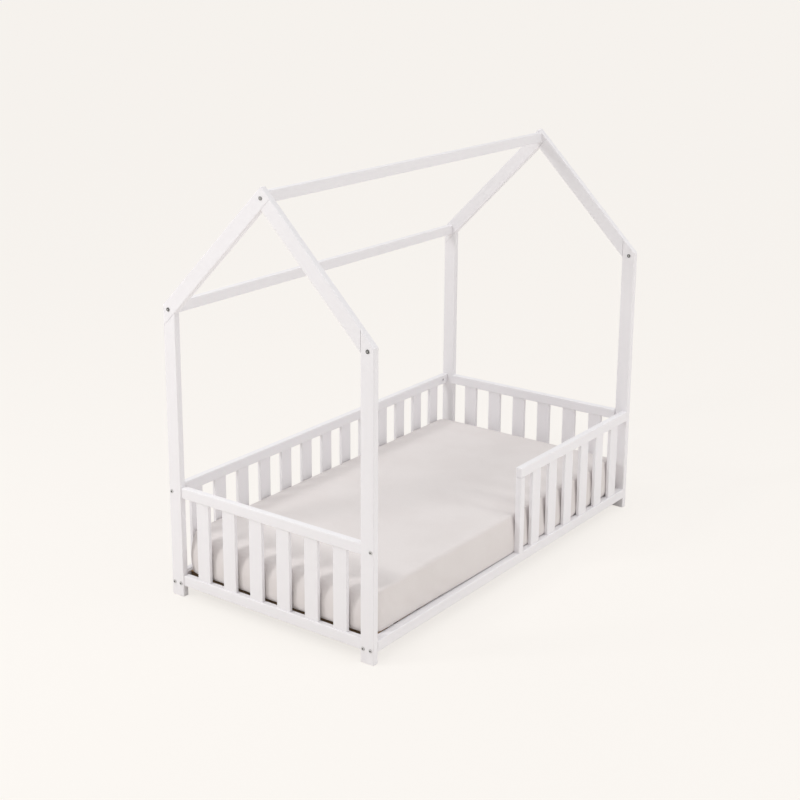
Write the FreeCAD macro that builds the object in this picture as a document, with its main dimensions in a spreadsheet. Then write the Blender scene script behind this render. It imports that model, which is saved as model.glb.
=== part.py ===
import FreeCAD, Part
import math
import os
import re

# House frame bed for a child, painted timber, with a mattress for 800 x 1600.
# Millimetres. X runs across the bed, Y along it from the foot end to the head end, Z up.
# The origin lies on the floor under the middle of the bed. The open entry side is +X.

Vector = FreeCAD.Vector
Rotation = FreeCAD.Rotation
doc = FreeCAD.newDocument("house_frame_bed")

# Driving sizes, each written once
SIZES = (
    # the mattress, which the frame is built round, and the play that it has beside the rails
    ("mattress_width", 800),
    ("mattress_length", 1600),
    ("side_play", 11),
    ("end_play", 6),
    # posts and roof
    ("post_width", 52),
    ("post_thickness", 24),
    ("rafter_width", 52),
    ("eaves_bolt_height", 1021),
    ("apex_bolt_height", 1436),
    ("eaves_bolt_inset", 24),
    ("peak_flat", 5),
    ("beam_height", 38),
    ("beam_thickness", 24),
    ("beam_lift", 2),
    # rails and slats of the two ends and the two sides
    ("rail_height", 38),
    ("rail_thickness", 24),
    ("rail_clearance", 40),
    ("top_rail_height", 400),
    ("end_rail_recess", 5),
    ("slat_width", 56),
    ("slat_thickness", 14),
    ("end_slat_count", 6),
    ("side_slat_count", 13),
    ("guard_slat_count", 6),
    ("guard_length", 783),
    ("guard_post_width", 28),
    # joints cut in the timber
    ("edge_round", 3.5),
    ("slat_round", 3),
    ("tenon_length", 12),
    ("tenon_shoulder", 3),
    ("fit_clearance", 0.2),
    ("dowel_diameter", 8),
    ("dowel_length", 30),
    ("dowel_edge", 9),
    ("dowel_spacing", 11),
    ("overrun", 5),
    # bolts and the nuts that they pull on
    ("bolt_diameter", 6),
    ("bolt_play", 0.5),
    ("thread_play", 0.1),
    ("head_diameter", 13),
    ("head_thickness", 2.5),
    ("head_round", 1),
    ("socket_sides", 6),
    ("socket_width", 4),
    ("socket_depth", 1.6),
    ("nut_inset", 32),
    ("nut_diameter", 10),
    ("nut_length", 14),
    ("nut_slot", 1.5),
    ("bolt_tail", 3),
    ("sleeve_diameter", 8.5),
    ("sleeve_length", 17),
    ("short_bolt_length", 20),
    # bed base under the mattress
    ("ledger_width", 34),
    ("ledger_thickness", 18),
    ("ledger_lip", 10),
    ("base_slat_width", 70),
    ("base_slat_thickness", 18),
    ("base_slat_count", 13),
    ("base_slat_play", 3),
    ("base_end_inset", 20),
    ("tape_width", 25),
    ("tape_thickness", 1),
    ("tape_line", 250),
    # form of the mattress and its fitted sheet
    ("mattress_height", 142),
    ("mattress_crown", 6),
    ("mattress_corner", 45),
    ("mattress_draw", 4),
    ("upper_edge_round", 24),
    ("lower_edge_round", 12),
    ("sheet_thickness", 1.2),
    ("sheet_ease", 0.3),
    ("sheet_seat", 0.3),
    ("hem_width", 110),
)

# Places worked out from the sizes
PLACES = {
    "half_width": "mattress_width / 2 + side_play + rail_thickness",
    "half_length": "mattress_length / 2 + end_play + rail_thickness + end_rail_recess",
    "post_inner": "half_width - post_width",
    "post_back": "half_length - post_thickness",
    "lap": "post_thickness / 2",
    # lines of the roof: bolts, slope and edges of the rafters
    "eaves_line": "half_width - eaves_bolt_inset",
    "slope": "atan((apex_bolt_height - eaves_bolt_height) / eaves_line)",
    "rafter_half": "rafter_width / 2",
    "peak_height": "apex_bolt_height + rafter_half / cos(slope)",
    "roof_height": "peak_height - peak_flat / 2 * tan(slope)",
    "roof_reach": "half_width / cos(slope) + rafter_width",
    # heights of the rails
    "rail_line": "half_width - rail_thickness / 2",
    "rail_inner": "half_width - rail_thickness",
    "slat_foot": "rail_clearance + rail_height",
    "slat_head": "top_rail_height - rail_height",
    "slat_length": "slat_head - slat_foot",
    "upper_bolt_height": "top_rail_height - rail_height / 2",
    "mortise_depth": "tenon_length + fit_clearance",
    # runs between the posts
    "end_run": "2 * post_inner",
    "side_run": "2 * post_back",
    "end_rail_line": "half_length - end_rail_recess - rail_thickness / 2",
    "guard_start": "post_back - guard_length",
    "guard_run": "guard_length - guard_post_width",
    "guard_middle": "post_back - guard_run / 2",
    # bed base
    "ledger_inner": "rail_inner - ledger_width",
    "ledger_line": "rail_inner - ledger_width / 2",
    "lower_bolt_height": "rail_clearance + ledger_thickness / 2",
    "base_foot": "rail_clearance + ledger_thickness",
    "base_top": "base_foot + base_slat_thickness",
    "base_run": "mattress_length - 2 * base_end_inset - base_slat_width",
    # bores
    "bolt_bore": "bolt_diameter / 2 + bolt_play",
    "dowel_bore": "dowel_diameter / 2 + fit_clearance",
    "dowel_depth": "dowel_length / 2 + fit_clearance",
    "nut_bore": "nut_diameter / 2 + fit_clearance",
    "sleeve_bore": "sleeve_diameter / 2 + fit_clearance",
    "sleeve_depth": "sleeve_length + fit_clearance",
    "long_bolt_length": "post_thickness + nut_inset + nut_diameter / 2 + bolt_tail",
    "bolt_depth": "long_bolt_length - post_thickness + bolt_tail",
    "nut_line": "post_back - nut_inset",
    # soft goods
    "sheet_foot": "base_top + sheet_seat",
    "core_foot": "sheet_foot + sheet_thickness",
}

WORD = re.compile(r"[A-Za-z_]+")
ALIASES = {alias for alias, number in SIZES}

sheet = doc.addObject("Spreadsheet::Sheet", "Sizes")
for row, (alias, number) in enumerate(SIZES, 1):
    sheet.set(f"A{row}", alias.replace("_", " "))
    sheet.set(f"B{row}", str(number))
    sheet.setAlias(f"B{row}", alias)
doc.recompute()


def formula(text):
    """Write a formula of sizes and places in the terms of the sheet."""
    def spell(match):
        word = match.group()
        if word in PLACES:
            return "(" + formula(PLACES[word]) + ")"
        return "Sizes." + word if word in ALIASES else word
    return WORD.sub(spell, text)


def worth(text):
    """Work out a formula as a number, in millimetres or degrees."""
    result = sheet.evalExpression(formula(text))
    return float(getattr(result, "Value", result))


def bind(item, **formulas):
    """Tie properties to formulas. An underscore in a property's name stands for a point."""
    for name, text in formulas.items():
        item.setExpression(name.replace("_", "."), formula(text))


def seat(item, x="0", y="0", z="0"):
    """Tie the place of a feature or a piece to formulas."""
    bind(item, Placement_Base_x=x, Placement_Base_y=y, Placement_Base_z=z)


def around(size):
    """Span of a size centred on zero."""
    return f"-({size}) / 2", f"({size}) / 2"


def outward(side, near, far):
    """Span between two distances from the middle, on the side -1 or 1."""
    return (near, far) if side > 0 else (f"-({far})", f"-({near})")


def signed(side, text):
    """Distance from the middle towards the side -1 or 1."""
    return text if side > 0 else f"-({text})"


# Cosine of half a right angle, which tells an edge along an axis from one across it
DIAGONAL = math.cos(math.pi / 4)

# Directions that a bore or a piece can take from its own Z axis
TOWARDS = {
    "+x": Rotation(Vector(0, 1, 0), 90),
    "-x": Rotation(Vector(0, 1, 0), -90),
    "+y": Rotation(Vector(1, 0, 0), -90),
    "-y": Rotation(Vector(1, 0, 0), 90),
    "+z": Rotation(Vector(1, 0, 0), 0),
    "-z": Rotation(Vector(1, 0, 0), 180),
}


def new_body(label):
    """Start a piece under its own name."""
    body = doc.addObject("PartDesign::Body", label)
    body.Label = label
    return body


def block(body, kind, name, x, y, z):
    """Add or take away a box. Each span is a low and a high formula."""
    box = body.newObject("PartDesign::" + kind + "Box", f"{body.Label}_{name}")
    (x0, x1), (y0, y1), (z0, z1) = x, y, z
    bind(box, Length=f"{x1} - ({x0})", Width=f"{y1} - ({y0})", Height=f"{z1} - ({z0})")
    seat(box, x0, y0, z0)
    return box


def roof_block(body, kind, name, side, across, y):
    """Add or take away a band along the slope of one side.

    The band runs the whole slope, past the peak and past the eaves. It lies between two distances from the
    line through the bolts, measured square to the slope and upwards."""
    box = body.newObject("PartDesign::" + kind + "Box", f"{body.Label}_{name}")
    low, high = across
    start = "-roof_reach" if side < 0 else "-rafter_width"
    box.Placement = FreeCAD.Placement(Vector(0, 0, 0), Rotation(Vector(0, side, 0), 1))
    bind(box, Length="roof_reach + rafter_width", Width=f"{y[1]} - ({y[0]})", Height=f"{high} - ({low})")
    bind(box, Placement_Rotation_Angle="slope")
    seat(
        box,
        f"({start}) * cos(slope) + {side} * ({low}) * sin(slope)",
        y[0],
        f"apex_bolt_height - {side} * ({start}) * sin(slope) + ({low}) * cos(slope)",
    )
    return box


def bore(body, name, towards, radius, depth, x="0", y="0", z="0"):
    """Take a round hole away, from a point on its axis and for its depth in one direction."""
    hole = body.newObject("PartDesign::SubtractiveCylinder", f"{body.Label}_{name}")
    hole.Placement = FreeCAD.Placement(Vector(0, 0, 0), TOWARDS[towards])
    bind(hole, Radius=radius, Height=depth)
    seat(hole, x, y, z)
    return hole


def ease(body, feature, radius, picked):
    """Round the edges of a feature that the test picks from their two ends."""
    doc.recompute()
    edges = feature.Shape.Edges
    names = [f"Edge{n}" for n, edge in enumerate(edges, 1) if picked(*(v.Point for v in edge.Vertexes))]
    fillet = body.newObject("PartDesign::Fillet", f"{body.Label}_eased")
    fillet.Base = (feature, names)
    bind(fillet, Radius=radius)
    return fillet


def lengthwise(start, end):
    """Pick the edges that run along X."""
    return abs(end.x - start.x) > (end - start).Length * DIAGONAL


def upright(start, end):
    """Pick the edges that run along Z."""
    return abs(end.z - start.z) > (end - start).Length * DIAGONAL


def on_faces(start, end):
    """Pick the edges round the broad faces, which do not run along Y."""
    return abs(end.y - start.y) < (end - start).Length * DIAGONAL


# Posts and rafters. Both gables are alike: the left halves of the laps show in front, seen from the foot.

def through_y(side_y):
    """Span through the thickness of the gable at one end, with overrun on both faces."""
    near, far = outward(side_y, "post_back", "half_length")
    return f"{near} - overrun", f"{far} + overrun"


def half_y(side_y, front):
    """Span of the front or the back half of the thickness, with overrun on its face."""
    near, far = outward(side_y, "post_back", "half_length")
    return (f"{near} - overrun", f"{near} + lap") if front else (f"{far} - lap", f"{far} + overrun")


def gable_bolt_holes(body, end, places):
    """Bore a gable piece through for its bolts. A place is its name, x and height."""
    for name, x, z in places:
        near, far = through_y(end)
        bore(body, name, "+y", "bolt_bore", f"{far} - ({near})", x, near, z)


def sleeve_hole(body, end, name, x, z):
    """Widen a bolt hole from the inner face for the barrel of a sleeve nut."""
    towards = "+y" if end > 0 else "-y"
    start = signed(end, "post_back - overrun")
    bore(body, name, towards, "sleeve_bore", "sleeve_depth + overrun", x, start, z)


def post(label, end, side):
    """Post of one corner: trimmed to the roof line, half cut away where its rafter crosses."""
    body = new_body(label)
    y = outward(end, "post_back", "half_length")
    block(body, "Additive", "blank", outward(side, "post_inner", "half_width"), y, ("0", "peak_height"))
    top = roof_block(body, "Subtractive", "roof_line", side, ("rafter_half", "roof_reach"), through_y(end))
    foot = worth("edge_round")

    def exposed(start, stop):
        return on_faces(start, stop) or max(start.z, stop.z) < foot or upright(start, stop)

    ease(body, top, "edge_round", exposed)
    front = side < 0
    roof_block(
        body, "Subtractive", "lap", side, ("-rafter_half", "rafter_half + overrun"), half_y(end, front)
    )
    holes = [
        ("eaves_bolt", signed(side, "eaves_line"), "eaves_bolt_height"),
        ("upper_bolt", signed(side, "rail_line"), "upper_bolt_height"),
        ("rail_bolt", signed(side, "rail_line"), "lower_bolt_height"),
        ("ledger_bolt", signed(side, "ledger_line"), "lower_bolt_height"),
    ]
    gable_bolt_holes(body, end, holes)
    if side > 0:
        sleeve_hole(body, end, "eaves_sleeve", *holes[0][1:])
        if end < 0:
            sleeve_hole(body, end, "upper_sleeve", *holes[1][1:])
    towards = "+x" if side > 0 else "-x"
    start = signed(side, "post_inner - overrun")
    for rail, top_edge in (("lower", "slat_foot"), ("upper", "top_rail_height")):
        for place, drop in (("a", "dowel_edge"), ("b", "dowel_edge + dowel_spacing")):
            bore(
                body, f"{rail}_dowel_{place}", towards, "dowel_bore", "dowel_depth + overrun",
                start, signed(end, "end_rail_line"), f"{top_edge} - ({drop})",
            )
    return body


def rafter(label, end, side):
    """Rafter of one slope: half-lapped to its post at the eaves and to the other rafter at the peak."""
    body = new_body(label)
    y = outward(end, "post_back", "half_length")
    whole = through_y(end)
    roof_block(body, "Additive", "blank", side, around("rafter_width"), y)
    beyond = outward(side, "half_width", "half_width + roof_reach")
    block(body, "Subtractive", "eaves_end", beyond, whole, ("0", "apex_bolt_height"))
    roof_block(body, "Subtractive", "upper_end", -side, ("rafter_half", "roof_reach"), whole)
    above = ("roof_height", "roof_height + rafter_width")
    flat = block(body, "Subtractive", "peak", around("rafter_width"), whole, above)
    ease(body, flat, "edge_round", on_faces)
    front = side > 0
    beside = outward(side, "post_inner", "half_width + overrun")
    block(body, "Subtractive", "eaves_lap", beside, half_y(end, front), ("0", "apex_bolt_height"))
    roof_block(
        body, "Subtractive", "upper_lap", -side, ("-rafter_half", "rafter_half + overrun"), half_y(end, front)
    )
    holes = [
        ("eaves_bolt", signed(side, "eaves_line"), "eaves_bolt_height"),
        ("peak_bolt", "0", "apex_bolt_height"),
    ]
    gable_bolt_holes(body, end, holes)
    if side > 0:
        sleeve_hole(body, end, "eaves_sleeve", *holes[0][1:])
    return body


# Straight timbers, each drawn along X about its own origin, then turned and set in place

def place(body, x="0", y="0", z="0", turn=0):
    """Turn a piece about Z and tie its place to formulas."""
    body.Placement = FreeCAD.Placement(Vector(0, 0, 0), Rotation(Vector(0, 0, 1), turn))
    seat(body, x, y, z)
    return body


def timber(label, length, thickness, height, radius="edge_round"):
    """Straight board along X with its long edges eased, its underside at zero."""
    body = new_body(label)
    blank = block(body, "Additive", "blank", around(length), around(thickness), ("0", height))
    ease(body, blank, radius, lengthwise)
    return body


def end_bolt_bore(body, length, end, z, nut):
    """Bore a timber's end for its bolt and cross-bore it for the barrel nut, from the face that nut names."""
    name = "foot" if end < 0 else "head"
    towards = "+x" if end < 0 else "-x"
    start = signed(end, f"({length}) / 2 + overrun")
    bore(body, name + "_bolt", towards, "bolt_bore", "bolt_depth + overrun", start, "0", z)
    at = signed(end, f"({length}) / 2 - nut_inset")
    if nut == "inner":
        bore(body, name + "_nut", "-y", "nut_bore", "rail_thickness / 2 + nut_length / 2 + overrun",
             at, "rail_thickness / 2 + overrun", z)
    else:
        bore(body, name + "_nut", "+z", "nut_bore", f"{z} + nut_length / 2 + overrun", at, "0", "-overrun")


def slat_gap(run, count):
    """Equal gap that slats leave along a run, with one gap more than slats."""
    return f"(({run}) - {count} * slat_width) / ({count} + 1)"


def slat_place(run, count, number):
    """Place of a slat along its run, from the run's middle. The first is number 0."""
    gap = slat_gap(run, count)
    return f"slat_width / 2 + {gap} - ({run}) / 2 + {number} * (slat_width + {gap})"


def mortises(body, middle, run, count, upper):
    """Cut a row of mortises for the slats' tenons in the upper or the lower edge of a rail."""
    first = f"{middle} + {slat_place(run, count, 0)}"
    half = "slat_width / 2 - tenon_shoulder + fit_clearance"
    deep = "slat_thickness - 2 * tenon_shoulder + 2 * fit_clearance"
    z = ("rail_height - mortise_depth", "rail_height + overrun") if upper else ("-overrun", "mortise_depth")
    cut = block(body, "Subtractive", "mortise", (f"{first} - ({half})", f"{first} + {half}"), around(deep), z)
    doc.recompute()
    row = body.newObject("PartDesign::LinearPattern", f"{body.Label}_mortises")
    axis = next(item for item in body.Origin.OriginFeatures if item.Role == "X_Axis")
    row.Originals = [cut]
    row.Direction = (axis, [""])
    bind(row, Length=f"({count} - 1) * (slat_width + {slat_gap(run, count)})", Occurrences=count)
    body.Tip = row


def end_rail(label, end, upper):
    """Rail between two posts, held by two dowels at each end."""
    body = timber(label, "end_run", "rail_thickness", "rail_height")
    mortises(body, "0", "end_run", "end_slat_count", not upper)
    for name, towards, start in (
        ("left", "+x", "-end_run / 2 - overrun"),
        ("right", "-x", "end_run / 2 + overrun"),
    ):
        for number, drop in (("a", "dowel_edge"), ("b", "dowel_edge + dowel_spacing")):
            bore(body, f"{name}_dowel_{number}", towards, "dowel_bore", "dowel_depth + overrun",
                 start, "0", f"rail_height - ({drop})")
    z = "slat_head" if upper else "rail_clearance"
    return place(body, "0", signed(end, "end_rail_line"), z, 0 if end < 0 else 180)


def side_rail(label, side, upper):
    """Rail along a whole side, bolted through the post at each end. Its nuts go in from the inside."""
    body = timber(label, "side_run", "rail_thickness", "rail_height")
    if side < 0:
        mortises(body, "0", "side_run", "side_slat_count", not upper)
    else:
        mortises(body, "guard_middle", "guard_run", "guard_slat_count", not upper)
        bore(body, "post_dowel", "-z", "dowel_bore", "dowel_depth + overrun",
             "guard_start + guard_post_width / 2", "0", "rail_height + overrun")
    z = "upper_bolt_height - slat_head" if upper else "lower_bolt_height - rail_clearance"
    for end in (-1, 1):
        end_bolt_bore(body, "side_run", end, z, "inner")
    return place(body, signed(side, "rail_line"), "0", "slat_head" if upper else "rail_clearance", 90 * side)


def guard_top_rail(label):
    """Short upper rail of the entry side: free at its foot end, bolted to the post at its head end."""
    body = new_body(label)
    blank = block(
        body, "Additive", "blank", around("guard_length"), around("rail_thickness"), ("0", "rail_height")
    )
    free = -worth("guard_length / 2 - edge_round")
    ease(body, blank, "edge_round", lambda a, b: lengthwise(a, b) or max(a.x, b.x) < free)
    mortises(body, "guard_post_width / 2", "guard_run", "guard_slat_count", False)
    bore(body, "post_dowel", "+z", "dowel_bore", "dowel_depth + overrun",
         "guard_post_width / 2 - guard_length / 2", "0", "-overrun")
    end_bolt_bore(body, "guard_length", 1, "upper_bolt_height - slat_head", "inner")
    return place(body, "rail_line", "post_back - guard_length / 2", "slat_head", 90)


def guard_end_post(label):
    """Upright at the free end of the guard, between the two rails, with a dowel up and a dowel down."""
    body = new_body(label)
    blank = block(
        body, "Additive", "blank", around("guard_post_width"), around("rail_thickness"), ("0", "slat_length")
    )
    ease(body, blank, "edge_round", upright)
    bore(body, "lower_dowel", "+z", "dowel_bore", "dowel_depth + overrun", z="-overrun")
    bore(body, "upper_dowel", "-z", "dowel_bore", "dowel_depth + overrun", z="slat_length + overrun")
    return place(body, "rail_line", "guard_start + guard_post_width / 2", "slat_foot", 90)


def slat(label, x, y, turn):
    """Slat with a shouldered tenon at each end."""
    body = new_body(label)
    blank = block(
        body, "Additive", "blank", around("slat_width"), around("slat_thickness"), ("0", "slat_length")
    )
    ease(body, blank, "slat_round", upright)
    tenon = ("-tenon_length", "slat_length + tenon_length")
    block(body, "Additive", "tenons", around("slat_width - 2 * tenon_shoulder"),
          around("slat_thickness - 2 * tenon_shoulder"), tenon)
    return place(body, x, y, "slat_foot", turn)


def beam(label, x, z):
    """Beam between the gables, centred on its height z, with its nuts let in from below."""
    body = timber(label, "side_run", "beam_thickness", "beam_height")
    for end in (-1, 1):
        end_bolt_bore(body, "side_run", end, "beam_height / 2 - beam_lift", "below")
    return place(body, x, "0", f"{z} + beam_lift - beam_height / 2", 90)


def ledger(label, side):
    """Ledger beside a side rail, notched round the end rails.

    The bed base lies on its shelf, inside a lip that stands along the rail."""
    body = new_body(label)
    block(body, "Additive", "shelf", around("side_run"), around("ledger_width"), ("0", "ledger_thickness"))
    lip = block(
        body, "Additive", "lip", around("side_run"), ("-ledger_width / 2", "ledger_lip - ledger_width / 2"),
        ("0", "ledger_thickness + base_slat_thickness"),
    )
    corner = Vector(0, worth("ledger_lip - ledger_width / 2"), worth("ledger_thickness"))
    near = worth("slat_round")

    def outer(start, stop):
        return lengthwise(start, stop) and (Vector(0, start.y, start.z) - corner).Length > near

    ease(body, lip, "slat_round", outer)
    deep = "end_rail_recess + rail_thickness - post_thickness + fit_clearance"
    inner = ("ledger_width / 2 + ledger_inner - post_inner - fit_clearance", "ledger_width / 2 + overrun")
    tall = ("-overrun", "ledger_thickness + overrun")
    for end in (-1, 1):
        name = "foot_notch" if end < 0 else "head_notch"
        block(body, "Subtractive", name,
              outward(end, f"side_run / 2 - ({deep})", "side_run / 2 + overrun"), inner, tall)
        end_bolt_bore(body, "side_run", end, "ledger_thickness / 2", "below")
    return place(body, signed(side, "ledger_line"), "0", "rail_clearance", 90 * side)


# Pieces that repeat as one set share a name: each set is a group of separate solids

def gather(label, pieces):
    """Join like pieces in one group without fusing them."""
    group = doc.addObject("Part::Compound", label)
    group.Label = label
    group.Links = pieces
    return group


def bolt(name, length):
    """Flat-headed furniture bolt: its head above zero, its shank below, a hexagon socket in the head."""
    body = new_body(name)
    head = body.newObject("PartDesign::AdditiveCylinder", name + "_head")
    bind(head, Radius="head_diameter / 2", Height="head_thickness")
    top = worth("head_thickness / 2")
    ease(body, head, "head_round", lambda a, b=None: a.z > top and (b is None or (b - a).Length < top))
    shank = body.newObject("PartDesign::AdditiveCylinder", name + "_shank")
    bind(shank, Radius="bolt_diameter / 2", Height=f"{length} + head_thickness / 2")
    seat(shank, z=f"-({length})")
    socket = body.newObject("PartDesign::SubtractivePrism", name + "_socket")
    bind(socket, Polygon="socket_sides", Circumradius="socket_width / 2 / cos(180 / socket_sides)")
    bind(socket, Height="socket_depth + overrun")
    seat(socket, z="head_thickness - socket_depth")
    return body


def barrel_nut(name):
    """Barrel nut about its own middle, upright: bored for the bolt along Y, slotted at its lower end."""
    body = new_body(name)
    barrel = body.newObject("PartDesign::AdditiveCylinder", name + "_barrel")
    bind(barrel, Radius="nut_diameter / 2", Height="nut_length")
    seat(barrel, z="-nut_length / 2")
    bore(body, "thread", "+y", "bolt_diameter / 2 + thread_play", "nut_diameter + 2 * overrun",
         y="-nut_diameter / 2 - overrun")
    block(body, "Subtractive", "slot", around("nut_diameter + overrun"), around("nut_slot"),
          ("-nut_length / 2 - overrun", "nut_slot - nut_length / 2"))
    return body


def sleeve_nut(name):
    """Sleeve nut: a flat head above zero and a bored barrel below it."""
    body = new_body(name)
    head = body.newObject("PartDesign::AdditiveCylinder", name + "_head")
    bind(head, Radius="head_diameter / 2", Height="head_thickness")
    top = worth("head_thickness / 2")
    ease(body, head, "head_round", lambda a, b=None: a.z > top and (b is None or (b - a).Length < top))
    barrel = body.newObject("PartDesign::AdditiveCylinder", name + "_barrel")
    bind(barrel, Radius="sleeve_diameter / 2", Height="sleeve_length + head_thickness / 2")
    seat(barrel, z="-sleeve_length")
    bore(body, "thread", "+z", "bolt_diameter / 2 + thread_play",
         "sleeve_length + head_thickness / 2 + overrun", z="-sleeve_length - overrun")
    return body


def dowel(name, towards, x, y, z):
    """Dowel pin, centred on its joint."""
    body = new_body(name)
    pin = body.newObject("PartDesign::AdditiveCylinder", name + "_pin")
    bind(pin, Radius="dowel_diameter / 2", Height="dowel_length")
    seat(pin, z="-dowel_length / 2")
    body.Placement = FreeCAD.Placement(Vector(0, 0, 0), TOWARDS[towards])
    seat(body, x, y, z)
    return body


def fasteners():
    """Bolts, barrel nuts and sleeve nuts of all the joints, worked out joint by joint."""
    bolts, barrels, sleeves = [], [], []
    for end in (-1, 1):
        outside = "-y" if end < 0 else "+y"
        inside = "+y" if end < 0 else "-y"
        joints = [("0", "apex_bolt_height", "+z", False)]
        for side in (-1, 1):
            nut = "-x" if side < 0 else "+x"
            spare = side > 0 and end < 0
            joints += [
                (signed(side, "eaves_line"), "eaves_bolt_height", "+z", side > 0),
                (signed(side, "rail_line"), "upper_bolt_height", nut, spare),
                (signed(side, "rail_line"), "lower_bolt_height", nut, False),
                (signed(side, "ledger_line"), "lower_bolt_height", "+z", False),
            ]
        for x, z, nut, sleeved in joints:
            number = len(bolts) + 1
            piece = bolt(f"bolt_{number}", "short_bolt_length" if sleeved else "long_bolt_length")
            piece.Placement = FreeCAD.Placement(Vector(0, 0, 0), TOWARDS[outside])
            seat(piece, x, signed(end, "half_length"), z)
            bolts.append(piece)
            if sleeved:
                piece = sleeve_nut(f"sleeve_nut_{number}")
                piece.Placement = FreeCAD.Placement(Vector(0, 0, 0), TOWARDS[inside])
                seat(piece, x, signed(end, "post_back"), z)
                sleeves.append(piece)
            else:
                piece = barrel_nut(f"barrel_nut_{number}")
                piece.Placement = FreeCAD.Placement(Vector(0, 0, 0), TOWARDS[nut])
                seat(piece, x, signed(end, "nut_line"), z)
                barrels.append(piece)
    return gather("bolts", bolts), gather("barrel_nuts", barrels), gather("sleeve_nuts", sleeves)


def dowels():
    """Dowels of the end rails, two to a joint, and of the guard's free upright."""
    pins = []
    for end in (-1, 1):
        for side in (-1, 1):
            for top_edge in ("slat_foot", "top_rail_height"):
                for drop in ("dowel_edge", "dowel_edge + dowel_spacing"):
                    pins.append(dowel(f"dowel_{len(pins) + 1}", "+x", signed(side, "post_inner"),
                                      signed(end, "end_rail_line"), f"{top_edge} - ({drop})"))
    for z in ("slat_foot", "slat_head"):
        y = "guard_start + guard_post_width / 2"
        pins.append(dowel(f"dowel_{len(pins) + 1}", "+z", "rail_line", y, z))
    return gather("dowels", pins)


def bed_base():
    """Slats laid across the two ledgers, and the two tapes under them that keep them apart."""
    slats = []
    count = round(worth("base_slat_count"))
    step = "base_run / (base_slat_count - 1)"
    for number in range(count):
        piece = timber(f"base_slat_{number + 1}", "2 * (rail_inner - ledger_lip - base_slat_play)",
                       "base_slat_width", "base_slat_thickness", "slat_round")
        y = f"{number} * ({step}) - base_run / 2"
        slats.append(place(piece, "0", y, "base_foot"))
    tapes = []
    for side in (-1, 1):
        tape = new_body("left_tape" if side < 0 else "right_tape")
        block(tape, "Additive", "web", around("base_run"), around("tape_width"), ("0", "tape_thickness"))
        tapes.append(place(tape, signed(side, "tape_line"), "0", "base_foot - tape_thickness", 90))
    return gather("bed_slats", slats), gather("slat_straps", tapes)


# Mattress and fitted sheet. Level outlines are stacked: each has four long arcs, which draw in slightly
# between the corners, and four corner arcs.

LOWER_TURN_SHARES = (0, 0.5, 1)
UPPER_TURN_SHARES = (0, 0.25, 0.5, 0.75, 1)
CROWN_SHARES = (0.2, 0.45, 0.7, 0.9)


def outline(z, inset, grow):
    """Closed wire at one height, drawn in from the widest outline by the inset."""
    half_x = worth("mattress_width / 2") + grow - inset
    half_y = worth("mattress_length / 2") + grow - inset
    corner = min(max(worth("mattress_corner") + grow - inset, worth("lower_edge_round")), half_x / 2)
    draw = worth("mattress_draw") * half_x / worth("mattress_width / 2")
    bulge = corner * (1 - DIAGONAL)
    edges = []
    for sx, sy in ((1, -1), (1, 1), (-1, 1), (-1, -1)):
        upright_side = sx * sy < 0
        if upright_side:
            start = Vector(sx * half_x, sy * (half_y - corner), z)
            middle = Vector(sx * (half_x - draw), 0, z)
            stop = Vector(sx * half_x, -sy * (half_y - corner), z)
        else:
            start = Vector(sx * (half_x - corner), sy * half_y, z)
            middle = Vector(0, sy * (half_y - draw), z)
            stop = Vector(-sx * (half_x - corner), sy * half_y, z)
        edges.append(Part.Arc(start, middle, stop).toShape())
        if upright_side:
            cx, cy = sx * half_x, -sy * half_y
            bend = Vector(cx - sx * bulge, cy + sy * bulge, z)
            after = Vector(sx * (half_x - corner), -sy * half_y, z)
        else:
            cx, cy = -sx * half_x, sy * half_y
            bend = Vector(cx + sx * bulge, cy - sy * bulge, z)
            after = Vector(-sx * half_x, sy * (half_y - corner), z)
        edges.append(Part.Arc(stop, bend, after).toShape())
    return Part.Wire(edges)


def mattress_form(foot, grow):
    """Closed solid of the mattress, grown by a distance at the sides and the top, from its own foot.

    Up the lower turn, straight up the sides, round the upper turn in equal angles, and then over the crown,
    whose height falls with the square of the distance from the upper edge to the middle."""
    lower = worth("lower_edge_round") + grow
    upper = worth("upper_edge_round") + grow
    shoulder = worth("core_foot + mattress_height") + grow
    crown = worth("mattress_crown")
    reach = worth("mattress_width / 2") + grow - upper
    levels = []
    for share in LOWER_TURN_SHARES:
        angle = share * math.pi / 2
        levels.append((foot + lower * (1 - math.cos(angle)), lower * (1 - math.sin(angle))))
    for share in UPPER_TURN_SHARES:
        angle = share * math.pi / 2
        levels.append((shoulder - upper * (1 - math.sin(angle)), upper * (1 - math.cos(angle))))
    for share in CROWN_SHARES:
        levels.append((shoulder + crown * (1 - (1 - share) ** 2), upper + reach * share))
    return Part.makeLoft([outline(z, inset, grow) for z, inset in levels], True, True)


def soft(label, shape):
    """Name a soft solid and set it in place."""
    piece = doc.addObject("Part::Feature", label)
    piece.Label = label
    piece.Shape = shape
    piece.Placement = FreeCAD.Placement(Vector(0, 0, 0), Rotation())
    return piece


def mattress_core(label):
    """Mattress without its sheet."""
    return soft(label, mattress_form(worth("core_foot"), 0))


def fitted_sheet(label):
    """Thin cover over the mattress, its hem drawn in under the whole lower edge."""
    ease_gap, cloth = worth("sheet_ease"), worth("sheet_thickness")
    skin = mattress_form(worth("sheet_foot"), ease_gap + cloth)
    hollow = mattress_form(worth("core_foot"), ease_gap)
    opening_x = worth("mattress_width / 2 - hem_width")
    opening_y = worth("mattress_length / 2 - hem_width")
    low = worth("sheet_foot - overrun")
    opening = Part.makeBox(
        2 * opening_x, 2 * opening_y, worth("mattress_height / 2"), Vector(-opening_x, -opening_y, low)
    )
    return soft(label, skin.cut([hollow, opening]).Solids[0])


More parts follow.
